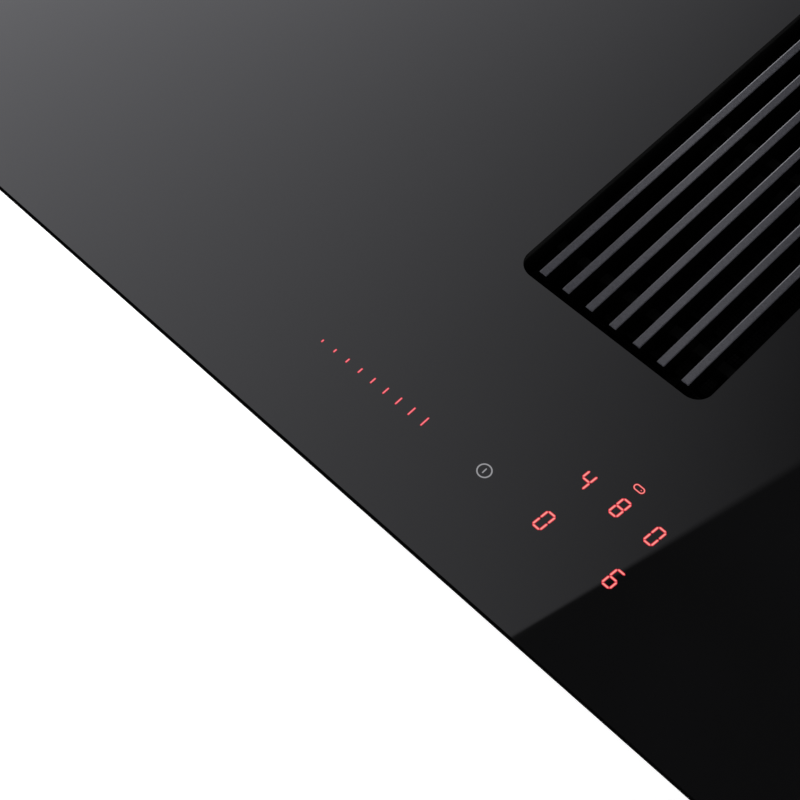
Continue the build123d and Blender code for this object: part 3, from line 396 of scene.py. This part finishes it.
def painted_steel():
    """Black paint on folded steel: near-black inside the inlet as painted shade, a lighter black on the
    filter's outer walls with wear and a painted highlight along their edges.
    """
    look = Look("black_metal", specular=0.12)
    broad = look.spread(look.noise(35.0, 4.0), 0.0, 1.0)
    fine = look.noise(1100.0, 2.0)
    # The inner faces are darkened far below the paint's own black: painted shade for the inside of the
    # inlet.
    inside = look.blend(broad, grey(0.0016), grey(0.0034))
    # Edges of the outer walls are lighter: wear there, and a painted highlight.
    outside = look.blend(look.edges(), look.blend(broad, grey(0.011), grey(0.018)), grey(0.05))
    low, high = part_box("filter_frame")
    middle = (low + high) / 2
    half = (high - low) / 2
    reach = look.place((1 / half.x, 1 / half.y, 0), shift=(-middle.x / half.x, -middle.y / half.y, 0))
    outward = look.add("ShaderNodeVectorMath", operation="DOT_PRODUCT")
    look.link(reach, outward.inputs[0])
    look.link(look.place(output="Normal"), outward.inputs[1])
    outer = look.spread(outward.outputs["Value"], 0.0, 1.0, 0.82, 0.88)
    look.drive("Base Color", look.blend(outer, inside, outside))
    look.drive("Roughness", look.spread(fine, 0.50, 0.66))
    look.bump(fine, 0.03 * MM)
    return look.material


def wound_copper():
    """Litz wire wound flat: rings of lacquered copper."""
    look = Look("copper_wire", metallic=1.0)
    rings = look.add("ShaderNodeTexWave", wave_type="RINGS", rings_direction="Z")
    rings.inputs["Scale"].default_value = 10.0
    rings.inputs["Distortion"].default_value = 0.3
    look.link(look.place(output="Generated", shift=(-0.5, -0.5, 0.0)), rings.inputs["Vector"])
    wire = linear(196, 120, 78)
    look.drive("Base Color", look.blend(rings.outputs["Fac"], linear(86, 44, 26), wire))
    look.drive("Roughness", look.spread(rings.outputs["Fac"], 0.5, 0.28, 0.0, 1.0))
    look.bump(rings.outputs["Fac"], 0.4 * MM)
    return look.material


def circuit_board():
    """Green solder mask over square-cornered tracks."""
    look = Look("circuit_board")
    tracks = look.add("ShaderNodeTexVoronoi", distance="CHEBYCHEV", feature="F2")
    tracks.inputs["Scale"].default_value = 160.0
    look.link(look.place(), tracks.inputs["Vector"])
    lines = look.spread(tracks.outputs["Distance"], 0.0, 1.0, 0.55, 0.62)
    look.drive("Base Color", look.blend(lines, linear(18, 62, 40), linear(40, 104, 66)))
    look.drive("Roughness", look.spread(lines, 0.32, 0.42, 0.0, 1.0))
    look.bump(lines, 0.03 * MM)
    return look.material


def lit_figure(name, edge, core):
    """A lit strip that is brighter along its middle, read from the strip's own UV."""
    look = Look(name)
    layer = look.add("ShaderNodeUVMap", uv_map="across")
    parts = look.add("ShaderNodeSeparateXYZ")
    look.link(layer.outputs["UV"], parts.inputs["Vector"])
    glow = look.blend(look.spread(parts.outputs["Y"], 0.0, 1.0, 0.3, 0.85), edge, core)
    look.shader.inputs["Base Color"].default_value = grey(0.004)
    look.shader.inputs["Roughness"].default_value = 0.4
    look.drive("Emission Color", glow)
    look.shader.inputs["Emission Strength"].default_value = 1.0
    return look.material


# The colours given for edges below are wear together with a painted highlight along the edges.
looks = {
    "black_glass": polished_glass(),
    "bar_aluminium": ground_bar(),
    "tray_steel": galvanised_sheet(),
    "copper_wire": wound_copper(),
    "circuit_board": circuit_board(),
    "seal_foam": surface("seal_foam", grey(0.006), grey(0.014), 260, (0.75, 0.95), 2600, 0.10 * MM),
    "black_metal": painted_steel(),
    # The filter's mesh is black-coated; its tone, far below black paint, is also painted shade for the
    # inside of the inlet.
    "filter_mesh": surface(
        "filter_mesh", grey(0.0014), grey(0.0028), 60, (0.50, 0.65), 1500, 0.04 * MM, specular=0.08
    ),
    "tray_plastic": surface(
        "tray_plastic", grey(0.014), grey(0.024), 25, (0.34, 0.48), 1300, 0.03 * MM, edge_highlight=grey(0.06)
    ),
    "housing_plastic": surface(
        "housing_plastic", grey(0.014), grey(0.028, 1.05), 22, (0.40, 0.62), 1400, 0.06 * MM,
        edge_highlight=grey(0.075),
    ),
    "impeller_plastic": surface(
        "impeller_plastic", grey(0.030), grey(0.045), 40, (0.35, 0.50), 1500, 0.03 * MM
    ),
    "terminal_plastic": surface(
        "terminal_plastic", grey(0.026), grey(0.040), 40, (0.45, 0.65), 1700, 0.06 * MM, edge_highlight=grey(0.09)
    ),
    "gland_plastic": surface(
        "gland_plastic", grey(0.018), grey(0.030), 120, (0.38, 0.55), 1800, 0.04 * MM, edge_highlight=grey(0.07)
    ),
    "fan_plastic": surface("fan_plastic", grey(0.016), grey(0.026), 60, (0.38, 0.52), 1600, 0.03 * MM),
    "display_plastic": surface(
        "display_plastic", grey(0.008), grey(0.016), 90, (0.4, 0.55), 1800, 0.02 * MM
    ),
    "former_plastic": surface(
        "former_plastic", linear(176, 168, 148), linear(196, 188, 168), 50, (0.45, 0.6), 1500, 0.03 * MM
    ),
    "light_guide": surface("light_guide", grey(0.55), grey(0.68), 70, (0.25, 0.4), 1500, 0.02 * MM),
    "standoff_plastic": surface(
        "standoff_plastic", grey(0.50), grey(0.60), 150, (0.4, 0.5), 2000, 0.02 * MM
    ),
    "sensor_ceramic": surface(
        "sensor_ceramic", grey(0.62), grey(0.74), 200, (0.5, 0.7), 2400, 0.03 * MM
    ),
    "ferrite": surface("ferrite", grey(0.018), grey(0.032), 120, (0.5, 0.7), 2200, 0.06 * MM),
    "shaft_steel": surface(
        "shaft_steel", grey(0.46), grey(0.56), 300, (0.18, 0.30), 2500, 0.006 * MM,
        metallic=1.0, stretch=(1, 1, 0.2),
    ),
    "motor_alloy": surface(
        "motor_alloy", grey(0.38), grey(0.50), 90, (0.36, 0.52), 1500, 0.04 * MM, metallic=1.0
    ),
    "clip_steel": surface(
        "clip_steel", grey(0.44), grey(0.56), 120, (0.24, 0.38), 1800, 0.01 * MM,
        metallic=1.0, stretch=(1, 0.15, 1),
    ),
    "carrier_aluminium": surface(
        "carrier_aluminium", grey(0.56), grey(0.66), 80, (0.30, 0.42), 1600, 0.01 * MM,
        metallic=1.0, stretch=(1, 0.1, 1),
    ),
    "sink_aluminium": surface(
        "sink_aluminium", grey(0.50), grey(0.62), 90, (0.32, 0.46), 1700, 0.01 * MM,
        metallic=1.0, stretch=(1, 0.1, 1),
    ),
}
for subpart in frame["record"]["subparts"]:
    slots = nodes[subpart["node"]].data.materials
    slots.clear()
    slots.append(looks[subpart["material_slot"]])


def new_piece(name, mesh_builder, material, body):
    """Turns a bmesh into an object of the scene that rides on a CAD body."""
    bmesh.ops.recalc_face_normals(mesh_builder, faces=mesh_builder.faces)
    mesh = bpy.data.meshes.new(name)
    mesh_builder.to_mesh(mesh)
    mesh_builder.free()
    mesh.materials.append(material)
    piece = bpy.data.objects.new(name, mesh)
    bpy.context.scene.collection.objects.link(piece)
    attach(piece, body)
    return piece


# Lit figures: thin strips laid out from the glass's front edge
glass_low, glass_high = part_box("glass_top")


class Figures:
    """Raised strips gathered into one mesh, with a UV that is 1 along each strip's middle."""

    def __init__(self):
        self.mesh = bmesh.new()
        self.across = self.mesh.loops.layers.uv.new("across")

    def corner(self, x, y, height):
        return self.mesh.verts.new((x * MM, glass_low.y + y * MM, glass_high.z + height * MM))

    def strip(self, stations, place=(0.0, 0.0), slant=0.0, closed=False):
        """A strip through stations of (x, y, half width), moved to a place and slanted."""
        rows = []
        middles = set()
        count = len(stations)
        for index, (x, y, half_width) in enumerate(stations):
            before = stations[(index - 1) % count] if closed or index > 0 else stations[index]
            after = stations[(index + 1) % count] if closed or index < count - 1 else stations[index]
            along = Vector((after[0] - before[0], after[1] - before[1])).normalized()
            row = []
            for side, height in FIGURE_SECTION:
                edge_x = x - along.y * half_width * side
                edge_y = y + along.x * half_width * side
                row.append(self.corner(place[0] + edge_x + slant * edge_y, place[1] + edge_y, height))
            if closed or 0 < index < count - 1:
                middles.add(row[FIGURE_MIDDLE])
            rows.append(row)
        made = []
        pairs = list(zip(rows, rows[1:]))
        if closed:
            pairs.append((rows[-1], rows[0]))
        else:
            made.append(self.mesh.faces.new(rows[0]))
            made.append(self.mesh.faces.new(rows[-1]))
        for first, second in pairs:
            for step in range(len(FIGURE_SECTION)):
                after = (step + 1) % len(FIGURE_SECTION)
                corners = (first[step], first[after], second[after], second[step])
                made.append(self.mesh.faces.new(corners))
        for face in made:
            for loop in face.loops:
                loop[self.across].uv = (0.5, 1.0 if loop.vert in middles else 0.0)


def bar_stations(start, end, width, tip_share):
    """Stations of a straight stroke whose ends narrow to that share of its width."""
    first = Vector(start)
    last = Vector(end)
    half_width = width / 2
    tip = half_width * tip_share
    along = (last - first).normalized() * half_width
    points = ((first, tip), (first + along, half_width), (last - along, half_width), (last, tip))
    return [(point.x, point.y, reach) for point, reach in points]


def ring_stations(length, height, half_width):
    """Stations round a stadium of that outer size; equal sizes give a circle."""
    radius = height / 2 - half_width
    straight = (length - height) / 2
    stations = []
    for step in range(ROUND_STEPS):
        angle = 2 * math.pi * (step + 0.5) / ROUND_STEPS
        shift = straight if math.cos(angle) > 0 else -straight
        stations.append((shift + radius * math.cos(angle), radius * math.sin(angle), half_width))
    return stations


red_figures = Figures()
stroke_width = DIGIT_WIDTH - DIGIT_STROKE
stroke_height = DIGIT_HEIGHT - DIGIT_STROKE
for digit, places in DIGITS.items():
    for place in places:
        for segment in LIT_SEGMENTS[digit]:
            ends = []
            for x, y in SEGMENTS[segment]:
                ends.append(Vector(((x - 0.5) * stroke_width, (y - 0.5) * stroke_height)))
            inward = (ends[1] - ends[0]).normalized() * DIGIT_GAP
            stations = bar_stations(ends[0] + inward, ends[1] - inward, DIGIT_STROKE, DIGIT_TIP)
            red_figures.strip(stations, place, DIGIT_SLANT)
oval = ring_stations(OVAL_LENGTH, OVAL_HEIGHT, OVAL_STROKE / 2)
red_figures.strip(oval, OVAL_PLACE, closed=True)
dot_start = (OVAL_DOT_SHIFT - OVAL_DOT / 2, 0.0)
dot_end = (OVAL_DOT_SHIFT + OVAL_DOT / 2, 0.0)
red_figures.strip(bar_stations(dot_start, dot_end, OVAL_DOT, OVAL_DOT_TIP), OVAL_PLACE)
red_light = lit_figure("red_light", linear(226, 46, 68), linear(255, 162, 150))
new_piece("lit_red_figures", red_figures.mesh, red_light, "housing")

slider_ticks = Figures()
for index in range(TICK_COUNT):
    tick_x = TICK_START + index * TICK_STEP
    tick_top = TICK_FOOT + TICK_LENGTH + index * TICK_GROWTH
    slider_ticks.strip(bar_stations((tick_x, TICK_FOOT), (tick_x, tick_top), TICK_WIDTH, TICK_TIP))
tick_light = lit_figure("tick_light", linear(224, 44, 66), linear(255, 132, 140))
new_piece("lit_slider_ticks", slider_ticks.mesh, tick_light, "housing")

power_figures = Figures()
power_ring = ring_stations(POWER_DIAMETER, POWER_DIAMETER, POWER_STROKE / 2)
power_figures.strip(power_ring, POWER_PLACE, closed=True)
mark_half = POWER_MARK_LENGTH / 2
mark = bar_stations((0.0, -mark_half), (0.0, mark_half), POWER_MARK_STROKE, POWER_MARK_TIP)
power_figures.strip(mark, POWER_PLACE)
white_light = lit_figure("white_light", linear(120, 120, 123), linear(158, 158, 161))
new_piece("lit_power_key", power_figures.mesh, white_light, "housing")

# Crossed wires: an upper layer along the filter and a lower one across it
mesh_low, mesh_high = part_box("filter_mesh")


def add_wire(mesh_builder, start, end, radius):
    """A straight wire between two points."""
    along = (end - start).normalized()
    side = along.orthogonal().normalized()
    rings = []
    for point in (start, end):
        ring = []
        for step in range(WIRE_SIDES):
            turned = Quaternion(along, 2 * math.pi * step / WIRE_SIDES) @ side
            ring.append(mesh_builder.verts.new(point + turned * radius))
        rings.append(ring)
        mesh_builder.faces.new(ring)
    for step in range(WIRE_SIDES):
        after = (step + 1) % WIRE_SIDES
        mesh_builder.faces.new((rings[0][step], rings[0][after], rings[1][after], rings[1][step]))


wires = bmesh.new()
wire_inset = WIRE_INSET * MM
wire_radius = WIRE_RADIUS * MM
upper_level = (mesh_low.z + mesh_high.z) / 2 + wire_radius
lower_level = (mesh_low.z + mesh_high.z) / 2 - wire_radius
span_x = (mesh_low.x + wire_inset, mesh_high.x - wire_inset)
span_y = (mesh_low.y + wire_inset, mesh_high.y - wire_inset)
columns = round((span_x[1] - span_x[0]) / (WIRE_PITCH * MM))
rows = round((span_y[1] - span_y[0]) / (WIRE_PITCH * MM))
for column in range(columns + 1):
    x = span_x[0] + (span_x[1] - span_x[0]) * column / columns
    add_wire(wires, Vector((x, span_y[0], upper_level)), Vector((x, span_y[1], upper_level)), wire_radius)
for row in range(rows + 1):
    y = span_y[0] + (span_y[1] - span_y[0]) * row / rows
    add_wire(wires, Vector((span_x[0], y, lower_level)), Vector((span_x[1], y, lower_level)), wire_radius)
new_piece("filter_wires", wires, looks["filter_mesh"], "grease_filter")


def add_screw(mesh_builder, place, up):
    """A low domed head with a lobed recess, seated on a face that looks along up."""
    side = up.orthogonal().normalized()
    rings = []
    for reach, height, lobe_depth in SCREW_RINGS:
        level = place + up * SCREW_RADIUS * height
        ring = []
        for step in range(SCREW_STEPS):
            angle = 2 * math.pi * step / SCREW_STEPS
            radius = SCREW_RADIUS * reach * (1 + lobe_depth * math.cos(SCREW_LOBES * angle))
            ring.append(mesh_builder.verts.new(level + Quaternion(up, angle) @ side * radius))
        rings.append(ring)
    for lower, upper in zip(rings, rings[1:]):
        for step in range(SCREW_STEPS):
            after = (step + 1) % SCREW_STEPS
            mesh_builder.faces.new((lower[step], lower[after], upper[after], upper[step]))
    mesh_builder.faces.new(rings[0])
    mesh_builder.faces.new(rings[-1])


def volute_place(angle, grow, level):
    """A point outside the scroll's four-centre spiral, at that angle in degrees."""
    quarter = int(angle // 90)
    half_step = VOLUTE_STEP / 2
    centre_x = -half_step if quarter in (0, 1) else half_step
    centre_y = half_step if quarter in (0, 3) else -half_step
    radius = VOLUTE_START + quarter * VOLUTE_STEP + grow
    turn = math.radians(angle)
    x = FAN_X + centre_x + radius * math.cos(turn)
    y = FAN_Y + centre_y + radius * math.sin(turn)
    return Vector((x * MM, y * MM, level))


# Screws on the scroll's flange, the outlet's flange, the terminal lid and the plenum's flanges
screws = bmesh.new()
plate_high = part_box("fan_inlet_plate")[1]
scroll_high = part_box("fan_scroll")[1]
flange_top = scroll_high.z + HOUSING_WALL * MM
for angle in SCROLL_SCREW_ANGLES:
    add_screw(screws, volute_place(angle, HOUSING_WALL + HOUSING_FLANGE / 2, flange_top), UP)
outlet_screw_x = plate_high.x - HOUSING_FLANGE / 2 * MM
for y in OUTLET_SCREWS_Y:
    add_screw(screws, Vector((outlet_screw_x, y * MM, flange_top)), UP)
lid_low, lid_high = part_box("terminal_lid")
lid_inset = LID_SCREW_INSET * MM
for x in (lid_low.x + lid_inset, lid_high.x - lid_inset):
    for y in (lid_low.y + lid_inset, lid_high.y - lid_inset):
        add_screw(screws, Vector((x, y, lid_low.z)), -UP)
tub_low, tub_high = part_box("plenum_tub")
tray_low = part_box("base_tray")[0]
flange_under = tray_low.z + (TRAY_BEAD - HOUSING_WALL) * MM
plenum_inset = PLENUM_FLANGE / 2 * MM
for x in (-PLENUM_SCREW_X * MM, PLENUM_SCREW_X * MM):
    for y in (tub_low.y + plenum_inset, tub_high.y - plenum_inset):
        add_screw(screws, Vector((x, y, flange_under)), -UP)
new_piece("housing_screws", screws, looks["clip_steel"], "housing")


def viewing_rays(tree):
    """A socket that is 1 for rays that show the room: camera, glossy and transmission rays."""
    path = tree.nodes.new("ShaderNodeLightPath")
    total = path.outputs["Is Camera Ray"]
    for name in ("Is Glossy Ray", "Is Transmission Ray"):
        larger = tree.nodes.new("ShaderNodeMath")
        larger.operation = "MAXIMUM"
        tree.links.new(total, larger.inputs[0])
        tree.links.new(path.outputs[name], larger.inputs[1])
        total = larger.outputs[0]
    return total


def stage_plane(name, low_x, high_x, low_y, high_y, level, material):
    """A flat rectangle of the set, which isn't part of the object."""
    mesh = bpy.data.meshes.new(name)
    outline = ((low_x, low_y), (high_x, low_y), (high_x, high_y), (low_x, high_y))
    corners = [(x, y, level) for x, y in outline]
    mesh.from_pydata(corners, [], [(0, 1, 2, 3)])
    mesh.materials.append(material)
    plane = bpy.data.objects.new(name, mesh)
    bpy.context.scene.collection.objects.link(plane)
    return plane


def pale_floor():
    """White floor that takes the object's shadow and reads as white to the camera."""
    look = Look("pale_floor", specular=0.0)
    look.drive("Base Color", look.blend(look.noise(6.0), grey(0.74), grey(0.78)))
    look.shader.inputs["Roughness"].default_value = 0.9
    distance = look.add("ShaderNodeVectorMath", operation="LENGTH")
    look.link(look.place((1, 1, 0)), distance.inputs[0])
    glow = look.spread(distance.outputs["Value"], FLOOR_GLOW_NEAR, FLOOR_GLOW_FAR, FLOOR_NEAR, FLOOR_FAR)
    strength = look.add("ShaderNodeMath", operation="MULTIPLY")
    look.link(viewing_rays(look.tree), strength.inputs[0])
    look.link(glow, strength.inputs[1])
    look.shader.inputs["Emission Color"].default_value = grey(1.0)
    look.drive("Emission Strength", strength.outputs[0])
    return look.material


def soft_card():
    """Light card: brighter to the left and the front, with an edge that blurs to the back."""
    look = Look("soft_card")

    def sum_of(first, second, scale=1.0):
        node = look.add("ShaderNodeMath", operation="MULTIPLY_ADD")
        look.link(second, node.inputs[0])
        node.inputs[1].default_value = scale
        if isinstance(first, bpy.types.NodeSocket):
            look.link(first, node.inputs[2])
        else:
            node.inputs[2].default_value = first
        return node.outputs[0]

    def combine(first, second, operation="MULTIPLY"):
        node = look.add("ShaderNodeMath", operation=operation)
        look.link(first, node.inputs[0])
        look.link(second, node.inputs[1])
        return node.outputs[0]

    def limit(source, operation, bound):
        node = look.add("ShaderNodeMath", operation=operation)
        look.link(source, node.inputs[0])
        node.inputs[1].default_value = bound
        return node.outputs[0]

    parts = look.add("ShaderNodeSeparateXYZ")
    look.link(look.place(), parts.inputs["Vector"])
    x = parts.outputs["X"]
    y = parts.outputs["Y"]
    level = sum_of(CARD_LEVEL, x, -CARD_RISE_LEFT)
    level = sum_of(level, combine(x, x), CARD_CURVE_LEFT)
    level = sum_of(level, y, CARD_RISE_BACK)
    level = sum_of(level, combine(x, y), -CARD_RISE_BOTH)
    edge = sum_of(sum_of(CARD_EDGE_SLOPE * CARD_EDGE_Y - CARD_EDGE_X, x), y, -CARD_EDGE_SLOPE)
    blur = sum_of(CARD_EDGE_BLUR - CARD_EDGE_BLUR_GROWTH * CARD_EDGE_Y, y, CARD_EDGE_BLUR_GROWTH)
    blur = limit(blur, "MAXIMUM", CARD_EDGE_BLUR)
    inside = look.spread(combine(edge, blur, "DIVIDE"), 1.0, 0.0, -0.5, 0.5)
    shown = limit(combine(level, inside), "MAXIMUM", DARK_CEILING)
    shown = limit(shown, "MINIMUM", CARD_CAP)
    glow = look.add("ShaderNodeEmission")
    glow.inputs["Color"].default_value = grey(1.0, 1.06)
    look.link(shown, glow.inputs["Strength"])
    look.link(glow.outputs["Emission"], look.tree.nodes["Material Output"].inputs["Surface"])
    return look.material


# Floor under the hob and the card over it
floor_level = cad_bounds[0].z - FLOOR_GAP
stage_plane("floor", -FLOOR_HALF, FLOOR_HALF, -FLOOR_HALF, FLOOR_HALF, floor_level, pale_floor())
card = stage_plane("light_card", CARD_LEFT, CARD_RIGHT, CARD_FRONT, CARD_BACK, CARD_HEIGHT, soft_card())
card.visible_camera = False


def area_lamp(name, place, target, size, power):
    """A square lamp aimed at a target, left out of mirror images."""
    lamp = bpy.data.lights.new(name, "AREA")
    lamp.size = size
    lamp.energy = power
    holder = bpy.data.objects.new(name, lamp)
    holder.location = place
    holder.rotation_mode = "QUATERNION"
    holder.rotation_quaternion = (Vector(target) - Vector(place)).to_track_quat("-Z", "Y")
    holder.visible_glossy = False
    bpy.context.scene.collection.objects.link(holder)


# Soft lamps in front and behind, and the strip that lights the bars alone
area_lamp("front_lamp", place=(0.9, -1.9, 1.1), target=(0.0, 0.0, -0.05), size=1.2, power=22.0)
area_lamp("back_lamp", place=(1.3, 1.7, 1.4), target=(0.0, 0.0, -0.05), size=1.0, power=14.0)
area_lamp("low_lamp", place=(-0.9, -1.6, 0.25), target=(0.0, -0.1, -0.2), size=0.9, power=9.0)
bar_set = bpy.data.collections.new("bar_set")
for name, node in nodes.items():
    if name.startswith("grille_bar"):
        bar_set.objects.link(node)
strip = bpy.data.lights.new("strip_lamp", "AREA")
strip.shape = "RECTANGLE"
strip.size = STRIP_LENGTH
strip.size_y = STRIP_WIDTH
strip.energy = STRIP_POWER
strip_holder = bpy.data.objects.new("strip_lamp", strip)
strip_holder.location = STRIP_PLACE
strip_holder.rotation_euler = (0.0, 0.0, STRIP_TURN)
strip_holder.light_linking.receiver_collection = bar_set
bpy.context.scene.collection.objects.link(strip_holder)

# World: white to the camera, a dark ceiling in reflections, and an even light on the rest
world = bpy.data.worlds.new("studio")
bpy.context.scene.world = world
world.use_nodes = True
sky = world.node_tree
sky.nodes.clear()
path = sky.nodes.new("ShaderNodeLightPath")
direction = sky.nodes.new("ShaderNodeTexCoord")
sky_parts = sky.nodes.new("ShaderNodeSeparateXYZ")
sky.links.new(direction.outputs["Generated"], sky_parts.inputs["Vector"])
height = sky.nodes.new("ShaderNodeMapRange")
height.interpolation_type = "SMOOTHSTEP"
height.inputs["From Min"].default_value = HORIZON_TOP
height.inputs["From Max"].default_value = CEILING_START
height.inputs["To Min"].default_value = 1.0
height.inputs["To Max"].default_value = DARK_CEILING
sky.links.new(sky_parts.outputs["Z"], height.inputs["Value"])
mirrored = sky.nodes.new("ShaderNodeMix")
sky.links.new(path.outputs["Is Camera Ray"], mirrored.inputs["Factor"])
sky.links.new(height.outputs["Result"], mirrored.inputs[2])
mirrored.inputs[3].default_value = 1.0
shown = sky.nodes.new("ShaderNodeMix")
sky.links.new(viewing_rays(sky), shown.inputs["Factor"])
shown.inputs[2].default_value = AMBIENT
sky.links.new(mirrored.outputs[0], shown.inputs[3])
background = sky.nodes.new("ShaderNodeBackground")
background.inputs["Color"].default_value = grey(1.0)
sky.links.new(shown.outputs[0], background.inputs["Strength"])
sky_output = sky.nodes.new("ShaderNodeOutputWorld")
sky.links.new(background.outputs["Background"], sky_output.inputs["Surface"])

# Camera at the photo's viewing angle
camera = bpy.data.cameras.new("camera")
camera.lens = CAMERA_LENS
camera.sensor_width = CAMERA_SENSOR
camera.clip_start = 0.01
camera.clip_end = 50.0
camera_holder = bpy.data.objects.new("camera", camera)
camera_holder.location = CAMERA_PLACE
camera_holder.rotation_mode = "QUATERNION"
looking = (CAMERA_TARGET - CAMERA_PLACE).to_track_quat("-Z", "Y")
camera_holder.rotation_quaternion = looking @ Quaternion((0, 0, 1), CAMERA_ROLL)
bpy.context.scene.collection.objects.link(camera_holder)
bpy.context.scene.camera = camera_holder
bpy.context.scene.view_settings.view_transform = "Standard"
